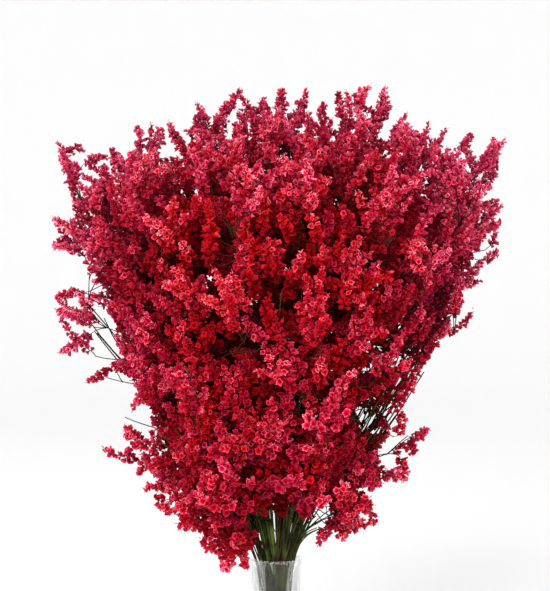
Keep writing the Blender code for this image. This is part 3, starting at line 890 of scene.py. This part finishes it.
class Tails:
    """Tails, a row each: its twig's handles, heading, length, bend, waver, floret size, whether its
    florets are lobed, light (below 1, painted shade on its florets), and how much closer they stand.
    """

    def __init__(self):
        self.rows = []

    def add(
        self, root, way, base, heading, length, draw, size=None, light=1.0, curl=0.28, aim=None, kept=False
    ):
        """A tail from base along heading, or bent to end at aim, on a twig that leaves root along way.

        One that would hide the bare stems or cross open air is left out unless it is kept.
        """
        heading = unit(heading)
        bend = np.cross(heading, stray(draw, 1)[0]) * draw.uniform(0.2, 1.0) * curl
        waver = np.cross(heading, stray(draw, 1)[0]) * draw.uniform(*WAVER)
        if aim is not None:
            heading = (aim - base) / length - bend
        run = (heading + bend) * length
        base = in_box(base + in_box(base + run) - (base + run))
        tip = base + run
        hides_stems = over_stems(tip, BARE_STEMS) or over_stems((base + tip) / 2, BARE_STEMS)
        if not kept and (hides_stems or in_open_air(base, tip)):
            return
        lead = TWIG_LEAD * np.linalg.norm(base - root)
        handles = in_box(np.array([root, root + way * lead, base - heading * lead, base]))
        open_size = floret_size(base)
        lobed = size is None and open_size > LOBED_SIZE
        closer = CLEAR_FULL if kept else 1.0
        self.rows.append((handles, heading, length, bend, waver, size or open_size, lobed, light, closer))

    def arrays(self):
        return [np.array(column) for column in zip(*self.rows)]


def tail_lines(base, heading, length, bend, waver, t):
    """Points and headings along tails, at places t: each bends one way and wavers about its line."""
    along, share = (length * t)[..., None], t[..., None]
    phase = WAVER_TURNS * math.tau * share
    points = base + heading * along + bend * along * share + waver * np.sin(phase)
    swing = waver * np.cos(phase) * (WAVER_TURNS * math.tau / length[..., None])
    return points, unit(heading + 2 * bend * share + swing)


def spray_tails(large, usual, sides, slim_sides, draw):
    """The tails that make up a spray's large spikes: one at the end of each and several at its sides."""
    tails = Tails()
    for handles, tip, radius in large:
        base, tip = np.array(handles[3]), np.array(tip)
        along = tip - base
        length = np.linalg.norm(along)
        axis = along / length
        slim = radius < SLIM_SPIKE
        start = base + along * (0.10 if slim else 0.34)
        size = SLIM_SIZE if slim and tip[2] > VASE_HEIGHT + 0.25 else None
        curl = 0.9 if slim else 0.4
        tails.add(base, axis, start, axis, np.linalg.norm(tip - start), draw, size, curl=curl, aim=tip)
        count = slim_sides if slim else sides
        turn = draw.uniform(0, 2 * math.pi)
        for k in range(count):
            share = (k + 0.5) / count
            root = base + along * (0.5 * share)
            lean = draw.uniform(*SIDE_LEAN)
            way = unit(axis * math.cos(lean) + turned_side(axis, turn + k * GOLDEN_ANGLE) * math.sin(lean))
            span = min(usual * 0.86, length * draw.uniform(*SIDE_LENGTH)) * (1 - 0.2 * share)
            if in_thin_flank(root) and draw.uniform() < FLANK_BARENESS:
                continue
            tails.add(root, axis, root + unit(axis + way) * 0.25 * radius, way, span, draw, size, curl=0.5)
    return tails


def fill_tails(bunch, sets, draw, usual, count, least, most, size, light):
    """Add a layer of tails that close the canopy, each on the twig that suits it best."""
    for k in range(count):
        polar = polar_of_share((k + 0.5) / count) + draw.uniform(-0.04, 0.04)
        azimuth = k * GOLDEN_ANGLE + 1.3 + draw.uniform(-0.15, 0.15)
        full = reach(polar, azimuth)
        inset = min(draw.uniform(least, most), 0.5 * full)
        tip = np.array(MOUTH + direction(max(polar, 0.02), azimuth) * (full - inset))
        if in_thin_flank(tip) and draw.uniform() < FLANK_BARENESS:
            continue
        outward = unit(tip - FAN_POINT)
        heading = unit(outward * 0.7 + stray(draw, 1)[0] * 0.95 + np.array((0, 0, 0.35)))
        length = min(usual * draw.uniform(*FILL_LENGTH), 0.42 * full)
        if depth_below(tip - heading * length) < ROOT_DEPTH:
            heading = unit(outward + stray(draw, 1)[0] * (0.35 if light == 1 else 0.65))
            if light < 1 and depth_below(tip - heading * length) < ROOT_DEPTH:
                continue
        base = tip - heading * length
        root, way, owner = bunch.nearest_twig(base)
        sets[owner].add(root, way, base, heading, length, draw, size, light)


def outline_tails(bunch, sets, draw):
    """Add the tails that stand clear in the outline, where the front view shows them."""
    for out, up, end_out, end_up in OUTLINE_TAILS:
        depth = -OUTLINE_DEPTH if end_up < HEM else draw.uniform(-OUTLINE_DEPTH, OUTLINE_DEPTH)
        base = seen_at(out, up, depth)
        along = in_box(seen_at(end_out, end_up, depth)) - base
        length = np.linalg.norm(along)
        root, heading, owner = bunch.nearest_twig(base)
        way = unit(heading * 0.6 + unit(base - root))
        sets[owner].add(root, way, base, along / length, length, draw, curl=0.3, aim=base + along, kept=True)


def flank_twigs(bunch):
    """The handles of each spray's long bare twigs that cross a flank."""
    draw = np.random.default_rng(SEED + 5)
    sets = [[] for _ in bunch.stems]
    for out, up, end_out, end_up in FLANK_TWIGS:
        depth = draw.uniform(-OUTLINE_DEPTH, OUTLINE_DEPTH)
        base, end = seen_at(out, up, depth), seen_at(end_out, end_up, depth)
        root, _, owner = bunch.nearest_twig(base)
        bow = stray(draw, 1)[0] * 0.06 * np.linalg.norm(end - base)
        sets[owner].append([root, base + bow, end - (end - base) / 3 + bow, end])
    return sets


@functools.cache
def planned_tails(usual, sides, slim_sides, *counts):
    """The tails of every spray, worked out once for each choice of length and numbers."""
    bunch = planned_bunch()
    draw = np.random.default_rng(SEED + 2)
    sets = [spray_tails(large, usual, sides, slim_sides, draw) for large in bunch.spikes]
    for count, layer in zip(counts, LAYERS):
        fill_tails(bunch, sets, draw, usual, count, *layer)
    outline_tails(bunch, sets, draw)
    return sets


def chosen_tails(florets):
    """The tails for the sizes and numbers in the panel."""
    numbers = (florets.sides, florets.slim_sides, florets.outer, florets.inner, florets.core)
    return planned_tails(florets.length, *numbers)


# Florets

def funnel(radii, heights, edge, throat):
    """A papery funnel of unit width and depth: points, faces, and how near each point is to the edge."""
    count = len(radii)
    turn = np.arange(count) * (2 * math.pi / count)
    ring = [(r * math.cos(a), r * math.sin(a), h) for r, h, a in zip(radii, heights, turn)]
    sides = [(2 + k, 2 + (k + 1) % count) for k in range(count)]
    faces = [face for here, after in sides for face in ((1, here, after), (0, after, here))]
    return np.array([(0, 0, 0), (0, 0, throat)] + ring), np.array(faces), np.array([0.25, 0.0] + edge)


def closed_bud():
    """A folded bud of unit width and depth, given as a funnel is."""
    turn = np.arange(3) * (2 * math.pi / 3)
    points = [(0, 0, 0)] + [(0.5 * math.cos(a), 0.5 * math.sin(a), 0.62) for a in turn] + [(0, 0, 1.0)]
    faces = [(0, 2, 1), (1, 2, 4), (0, 3, 2), (2, 3, 4), (0, 1, 3), (3, 1, 4)]
    return np.array(points), np.array(faces), np.array([0.3] + [0.7] * 3 + [0.95])


def pointed_bract():
    """A narrow pointed bract, folded along its middle, given as a funnel is."""
    points = [(-0.35, 0, 0), (0.35, 0, 0), (0, 0.4, 0.05), (-0.5, 0.1, 0.4), (0.5, 0.1, 0.4), (0, 0.2, 1)]
    faces = [(0, 1, 4), (0, 4, 3), (3, 4, 5), (1, 2, 4), (2, 0, 3), (2, 5, 4), (2, 3, 5), (0, 2, 1)]
    return np.array(points), np.array(faces), np.zeros(len(points))


FIVE_POINTED = funnel([1.0] * 5, [1.0] * 5, [1.0] * 5, 0.68)
FOUR_POINTED = funnel([1.0] * 4, [1.0] * 4, [1.0] * 4, 0.68)
FIVE_LOBED = funnel([1.0, 0.66] * 5, [0.90, 1.0] * 5, [1.0, 0.8] * 5, 0.66)


def stamp(shape, places, axes, widths, depths, draw, crumple):
    """Copies of a shape, one for each place, turned at random about its axis and crumpled a little."""
    points, faces, edge = shape
    count = len(places)
    u = turned_side(axes, draw.uniform(0, 2 * math.pi, count)[:, None])
    v = np.cross(axes, u)
    wide = 1 + draw.uniform(-crumple, crumple, (count, len(points), 1))
    deep = 1 + draw.uniform(-crumple, crumple, (count, len(points), 1))
    spread = points[None, :, 0:1] * u[:, None] + points[None, :, 1:2] * v[:, None]
    lift = points[None, :, 2:3] * axes[:, None] * depths[:, None, None]
    cloud = places[:, None] + spread * wide * (widths[:, None, None] / 2) + lift * deep
    index = faces[None] + (np.arange(count) * len(points))[:, None, None]
    return cloud.reshape(-1, 3), index.reshape(-1, 3), np.tile(edge, count)


def painted_depth_and_top_shade(points):
    """How brightly points are painted: painted shade below the bunch's surface, and a little more painted
    shade at its top.
    """
    x, y, z = (points - MOUTH_POINT).T
    out = np.hypot(x, y)
    full = reach_at(np.arctan2(out, z), x / np.maximum(out, 1e-6))
    shade = np.clip(1 - (full - np.hypot(out, z) - 0.010) / SHADE_DEPTH, 0.25, 1)
    return shade * (1 - 0.16 * rise(z, 0.33, 0.12))


def dye_of(tails, own, t, curve, draw):
    """Each floret's tone, with painted shade in it, and how magenta it is, from its tail and its place in the
    bunch.
    """
    sizes, lights = tails[5], tails[7]
    count = len(sizes)
    least, of_tail, of_floret = TONE
    tone_and_shade = least + of_tail * draw.uniform(0, 1, count)[own] + of_floret * draw.uniform(0, 1, len(t)) ** 1.2
    # Painted shade: darker in the inner layers, at a tail's root, below the bunch's surface and at its top
    tone_and_shade *= lights[own] * (PAINTED_ROOT_SHADE + (1 - PAINTED_ROOT_SHADE) * rise(t, 0, 0.5)) * painted_depth_and_top_shade(curve)
    pink = rise(np.abs(curve[:, 0]), *SIDE_PINK[:2]) * SIDE_PINK[2]
    pink += rise(curve[:, 2] - VASE_HEIGHT, *TOP_PINK[:2]) * TOP_PINK[2]
    low_front = rise(sizes, 1, 0.6) * (lights == 1)
    pink += (draw.uniform(0, 1, count) ** 2 * STRAY_PINK + low_front * LOW_PINK)[own]
    return tone_and_shade, np.clip(pink, 0, 1)


def dress_tails(tails, florets, draw):
    """All florets of a spray, and the colour painted on each of their points."""
    handles, headings, lengths, bends, wavers, sizes, lobed, lights, closer = tails
    counts = np.maximum(7, np.round(closer * lengths / (florets.spacing * sizes**1.5))).astype(int)
    own = np.repeat(np.arange(len(counts)), counts)
    order = np.arange(len(own)) - np.repeat(np.cumsum(counts) - counts, counts)
    t = (order + draw.uniform(0.2, 0.8, len(own))) / counts[own]
    curve, tangent = tail_lines(handles[own, 3], headings[own], lengths[own], bends[own], wavers[own], t)
    turn = order * GOLDEN_ANGLE + draw.uniform(0, 2 * math.pi, len(counts))[own]
    lean = tangent * (0.35 + 0.9 * t[:, None] ** 2) + unit(curve - FAN_POINT) * 0.22
    axes = unit(turned_side(tangent, turn[:, None]) * 0.9 + lean + stray(draw, len(t)) * 0.42)
    taper = np.interp(t, (0, 0.18, 0.7, 1), (0.72, 1.0, 0.94, 0.56)) * sizes[own]
    taper = taper * draw.uniform(*FLORET_SPREAD, len(t))
    tone_and_shade, pink = dye_of(tails, own, t, curve, draw)

    # Fewer points where the shade hides them
    open_now, shaded = t < OPEN_SHARE, lights[own] < 1
    simple = (lights[own] < 0.5) | (shaded & (order % 2 == 1))
    clouds, colours = [], []
    for chosen, shape, wide, deep, crumple in (
        (open_now & ~lobed[own] & ~shaded, FIVE_POINTED, 1.0, 1.0, 0.42),
        (open_now & shaded & ~simple, FIVE_POINTED, 1.0, 1.0, 0.40),
        (open_now & simple, FOUR_POINTED, 1.0, 1.0, 0.40),
        (open_now & lobed[own], FIVE_LOBED, 1.0, 0.8, 0.20),
        (~open_now, closed_bud(), 0.5, 0.9, 0.10),
    ):
        if not chosen.any():
            continue
        widths, depths = florets.width * wide * taper[chosen], florets.depth * deep * taper[chosen]
        cloud, faces, edge = stamp(shape, curve[chosen], axes[chosen], widths, depths, draw, crumple)
        clouds.append((cloud, faces))
        per = len(shape[0])
        colours.append(np.stack([edge, np.repeat(tone_and_shade[chosen], per), np.repeat(pink[chosen], per)], axis=1))
    points, faces = joined(clouds)
    return in_box(points, FACE_INSET), faces, np.concatenate(colours)


# Helpers for the operators

def show(mesh, material, node):
    """Put a finished piece in the scene, riding on the root in place of the frame's node."""
    mesh.materials.append(material)
    piece = put(mesh.name, mesh)
    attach(piece, "root")
    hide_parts(node)


def outer_radius(height):
    """The vase's outside: a foot that swells to the belly, a shoulder, a straight neck and a flared lip."""
    if height < BELLY_HEIGHT:
        return BELLY_RADIUS + (FOOT_RADIUS - BELLY_RADIUS) * (1 - height / BELLY_HEIGHT) ** 2
    if height < NECK_START:
        up = (height - BELLY_HEIGHT) / (NECK_START - BELLY_HEIGHT)
        return BELLY_RADIUS + (NECK_RADIUS - BELLY_RADIUS) * (0.5 - 0.5 * math.cos(math.pi * up))
    flare = max(0, (height - LIP_START) / (VASE_HEIGHT - LIP_START))
    return NECK_RADIUS + (MOUTH_RADIUS - NECK_RADIUS) * flare**2


# Operators

class STATICE_OT_vase(bpy.types.Operator):
    """Turn the glass bottle vase with its round lip and thick foot"""

    bl_idname = "statice.vase"
    bl_label = "Glass vase"

    def execute(self, context):
        vase = context.scene.statice_vase
        half = GLASS_WALL / 2
        lip = VASE_HEIGHT - half
        body = [*np.linspace(FOOT_ROUNDING, NECK_START, 34)]
        body += [*np.linspace(NECK_START, lip + math.sin(-0.6) * half, 12)[1:]]
        outside = [(outer_radius(z), z) for z in body]
        inside = [(outer_radius(z) - GLASS_WALL, z) for z in body if z > GLASS_FLOOR + GLASS_WALL]
        rim = arc(MOUTH_RADIUS - half, lip, half, -0.2, math.pi + 0.2, 9)
        foot = arc(FOOT_RADIUS - FOOT_ROUNDING, FOOT_ROUNDING, FOOT_ROUNDING, -math.pi / 2, 0, 6)[:-1]
        floor = arc(FOOT_RADIUS - 2 * GLASS_WALL, GLASS_FLOOR + GLASS_WALL, GLASS_WALL, -math.pi / 2, 0, 5)
        points, *faces = turned_shape(foot + outside + rim + inside[::-1] + floor[::-1], vase.sides)
        mesh = build_mesh("glass_vase", points, faces, True)
        mesh.set_sharp_from_angle(angle=math.radians(60))
        show(mesh, soda_lime_glass(vase), "vase")
        return {"FINISHED"}


class STATICE_OT_stems(bpy.types.Operator):
    """Grow the ribbed green stems, each with the thin stems that stand beside it"""

    bl_idname = "statice.stems"
    bl_label = "Stems"

    def execute(self, context):
        stalks = context.scene.statice_stalks
        material = dried_stalk("dried_green_stem", stalks.dark, stalks.light, stalks.brown, 0.12)
        draw = np.random.default_rng(SEED + 3)
        for number, stem in enumerate(planned_bunch().stems, 1):
            line, lengths, _, fork_at = stem
            places = np.linspace(0, fork_at, 34)
            centres = points_along(line, lengths, places)[None]
            headings = unit(np.gradient(centres, axis=1))
            headings[:, 0] = (0, 0, 1)
            radii = np.linspace(STEM_RADIUS, STEM_TIP_RADIUS, len(places)) * STEM_SLIMNESS
            batches = [tube_rings(centres, headings, radii, 10, stalks.ribs)]
            batches.append(self.bracts(centres[0], headings[0], draw))
            batches += [self.companion(stem, stalks.companion_radius, draw) for _ in range(stalks.companions)]
            mesh = build_mesh(f"stem_{number:02d}_stalks", *joined(batches), True)
            browns = draw.uniform(0.0, 0.9, len(batches)) ** 1.5
            paint(mesh, "stalk", np.repeat(browns, [len(batch[0]) for batch in batches])[:, None])
            show(mesh, material, f"stem_{number:02d}")
        return {"FINISHED"}

    def bracts(self, centres, headings, draw):
        """Small dry bracts that clasp the stem, the largest at the fork."""
        chosen = np.append(draw.choice(np.arange(20, len(centres) - 1), 4, replace=False), len(centres) - 1)
        long = np.append(draw.uniform(0.004, 0.008, 4), 0.011)
        side = unit(np.cross(headings[chosen], stray(draw, len(chosen))))
        axes = unit(headings[chosen] + side * 0.45)
        return stamp(pointed_bract(), centres[chosen] + side * 0.0006, axes, long * 0.5, long, draw, 0.1)[:2]

    def companion(self, stem, radius, draw):
        """A thin stem that rises beside the main one and parts from it above the mouth."""
        line, lengths, waist_at, fork_at = stem
        start = draw.uniform(0.25, 0.7) * waist_at
        end = min(float(lengths[-1]) * 0.95, fork_at + draw.uniform(0.02, 0.26))
        places = np.linspace(start, end, 26)
        centres = points_along(line, lengths, places)
        turn = draw.uniform(0, 2 * math.pi)
        away = -0.0022 + draw.uniform(0.010, 0.034) * rise(places - waist_at, -0.01, 0.20) ** 1.4
        across = np.cross(unit(np.gradient(centres, axis=0)), (math.cos(turn), math.sin(turn), 0.3))
        centres = (centres + unit(across) * away[:, None])[None]
        radii = np.linspace(1.0, 0.6, len(places)) * radius
        return tube_rings(centres, unit(np.gradient(centres, axis=1)), radii, 6, 0.1)


class STATICE_OT_twigs(bpy.types.Operator):
    """Branch each stem into its head of wiry twigs"""

    bl_idname = "statice.twigs"
    bl_label = "Twigs"

    def execute(self, context):
        thin = context.scene.statice_stalks.twig_radius
        material = dried_stalk("dried_wiry_twig", "#070904", "#2C2A12", "#3E1A0C", 0.04)
        bunch = planned_bunch()
        sets = chosen_tails(context.scene.statice_florets)
        heads = zip(bunch.stems, bunch.spikes, sets, flank_twigs(bunch))
        for number, (stem, large, tails, bare) in enumerate(heads, 1):
            batches = self.main_twigs(stem, large)
            if bare:
                batches.append(tube_batch(np.array(bare), np.linspace(1.5, 0.9, 7) * thin, 4))
            batches += self.tail_twigs(tails.arrays(), thin)
            points, faces = joined(batches)
            mesh = build_mesh(f"spray_{number:02d}_twigs", in_box(points), faces, True)
            # Browner towards the top
            paint(mesh, "stalk", 0.15 + 0.5 * rise(points[:, 2:], VASE_HEIGHT, 0.45))
            show(mesh, material, f"spray_{number:02d}")
        return {"FINISHED"}

    def main_twigs(self, stem, large):
        """The head's axis, and the twigs of its large spikes with most of their bow taken out."""
        line, lengths, _, fork_at = stem
        places = np.linspace(fork_at + MEETING_GAP, float(lengths[-1]) - END_TWIG, 30)
        centres = points_along(line, lengths, places)[None]
        first, last = AXIS_SLIMNESS
        radii = np.linspace(STEM_TIP_RADIUS * first, TWIG_RADIUS * last, len(places))
        axis = tube_rings(centres, unit(np.gradient(centres, axis=1)), radii, 8, 0.12)
        twigs = np.array([handles for handles, _, _ in large])
        start, end = twigs[:, 0], twigs[:, 3]
        easy = np.stack([start, start + (end - start) / 3, end - (end - start) / 3, end], axis=1)
        first, last = TWIG_SLIMNESS
        radii = np.linspace(TWIG_RADIUS * first, TWIG_RADIUS * last, 9)
        return [axis, tube_batch(twigs + (easy - twigs) * EASED_BOW, radii, 5)]

    def tail_twigs(self, tails, thin):
        """The twig that carries each tail, and its run inside the tails that stand in the light."""
        handles, headings, lengths, bends, wavers, _, _, lights, _ = tails
        lit = lights == 1
        batches = [
            tube_batch(handles[chosen], np.linspace(1.0, 0.8, steps) * thin, 3)
            for chosen, steps in ((lit, 5), (~lit, 3))
        ]
        t = np.tile(np.linspace(0, 0.97, 5), (lit.sum(), 1))
        rows = (handles[:, 3], headings, lengths, bends, wavers)
        inside, way = tail_lines(*(row[lit][:, None] for row in rows), t)
        return batches + [tube_rings(inside, way, (0.8 - 0.5 * t) * thin, 3)]


class STATICE_OT_florets(bpy.types.Operator):
    """Set the papery crimson florets round every spike"""

    bl_idname = "statice.florets"
    bl_label = "Florets"

    def execute(self, context):
        florets = context.scene.statice_florets
        material = dyed_calyx_paper(florets)
        for number, tails in enumerate(chosen_tails(florets)):
            draw = np.random.default_rng((SEED + 4, number))
            points, faces, colours = dress_tails(tails.arrays(), florets, draw)
            mesh = build_mesh(f"spray_{number + 1:02d}_florets", points, faces, False)
            paint(mesh, "petal", colours)
            show(mesh, material, f"spray_{number + 1:02d}")
        return {"FINISHED"}


class STATICE_OT_stage(bpy.types.Operator):
    """Sweep white paper behind the vase and set the soft lights and the camera"""

    bl_idname = "statice.stage"
    bl_label = "Stage"

    def execute(self, context):
        stage = context.scene.statice_stage
        self.add_paper(stage)
        self.add_light("key_light", (-0.9, -2.4, 1.7), stage.key)
        self.add_light("fill_light", (1.6, -2.2, 0.5), stage.key * 0.35)
        world = bpy.data.worlds.new("white_surroundings")
        world.use_nodes = True
        background = world.node_tree.nodes["Background"]
        background.inputs["Color"].default_value = (1, 1, 1, 1)
        background.inputs["Strength"].default_value = stage.world
        context.scene.world = world
        context.scene.view_settings.view_transform = "Standard"
        camera = put("camera", bpy.data.cameras.new("camera"))
        camera.data.lens = stage.lens
        camera.data.sensor_width = 36
        camera.location = EYE
        camera.rotation_euler = (math.pi / 2, 0, 0)
        context.scene.camera = camera
        return {"FINISHED"}

    def add_paper(self, stage):
        """A floor 4 m out that curves up into a backdrop all round."""
        sweep = arc(4.0, 2.0, 2.0, 0.2 - math.pi / 2, 1.57 - math.pi / 2, 8)
        profile = [(1.0, 0.0), (2.0, 0.0), (3.0, 0.0), (4.0, 0.0)] + sweep + [(6.0, 7.0)]
        points, walls, _, middle = turned_shape(profile[::-1], 64)
        mesh = build_mesh("studio_paper", points, [walls, middle], True)
        mesh.materials.append(seamless_paper(stage))
        put("studio_paper", mesh)

    def add_light(self, name, place, power):
        """A square soft light that faces the middle of the bunch."""
        light = put(name, bpy.data.lights.new(name, "AREA"))
        light.data.size = 1.3
        light.data.energy = power
        light.location = place
        middle = Vector((0, 0, 0.42))
        light.rotation_euler = (middle - light.location).to_track_quat("-Z", "Y").to_euler()


class STATICE_PT_panel(bpy.types.Panel):
    """Statice tools in the 3D view's sidebar"""

    bl_label = "Dried statice"
    bl_idname = "STATICE_PT_panel"
    bl_space_type = "VIEW_3D"
    bl_region_type = "UI"
    bl_category = "Statice"

    def draw(self, context):
        for name in GROUPS:
            group = getattr(context.scene, name)
            box = self.layout.box()
            for key in group.__annotations__:
                box.prop(group, key)
        for operator in OPERATORS:
            self.layout.operator(operator.bl_idname)


OPERATORS = (STATICE_OT_vase, STATICE_OT_stems, STATICE_OT_twigs, STATICE_OT_florets, STATICE_OT_stage)
GROUPS = {
    "statice_vase": StaticeVase,
    "statice_stalks": StaticeStalks,
    "statice_florets": StaticeFlorets,
    "statice_stage": StaticeStage,
}


def register():
    for cls in (*GROUPS.values(), *OPERATORS, STATICE_PT_panel):
        bpy.utils.register_class(cls)
    for name, group in GROUPS.items():
        setattr(bpy.types.Scene, name, bpy.props.PointerProperty(type=group))


def unregister():
    for name in GROUPS:
        delattr(bpy.types.Scene, name)
    for cls in reversed((*GROUPS.values(), *OPERATORS, STATICE_PT_panel)):
        bpy.utils.unregister_class(cls)


def main():
    register()
    bpy.ops.statice.vase()
    bpy.ops.statice.stems()
    bpy.ops.statice.twigs()
    bpy.ops.statice.florets()
    bpy.ops.statice.stage()


if __name__ == "__main__":
    main()
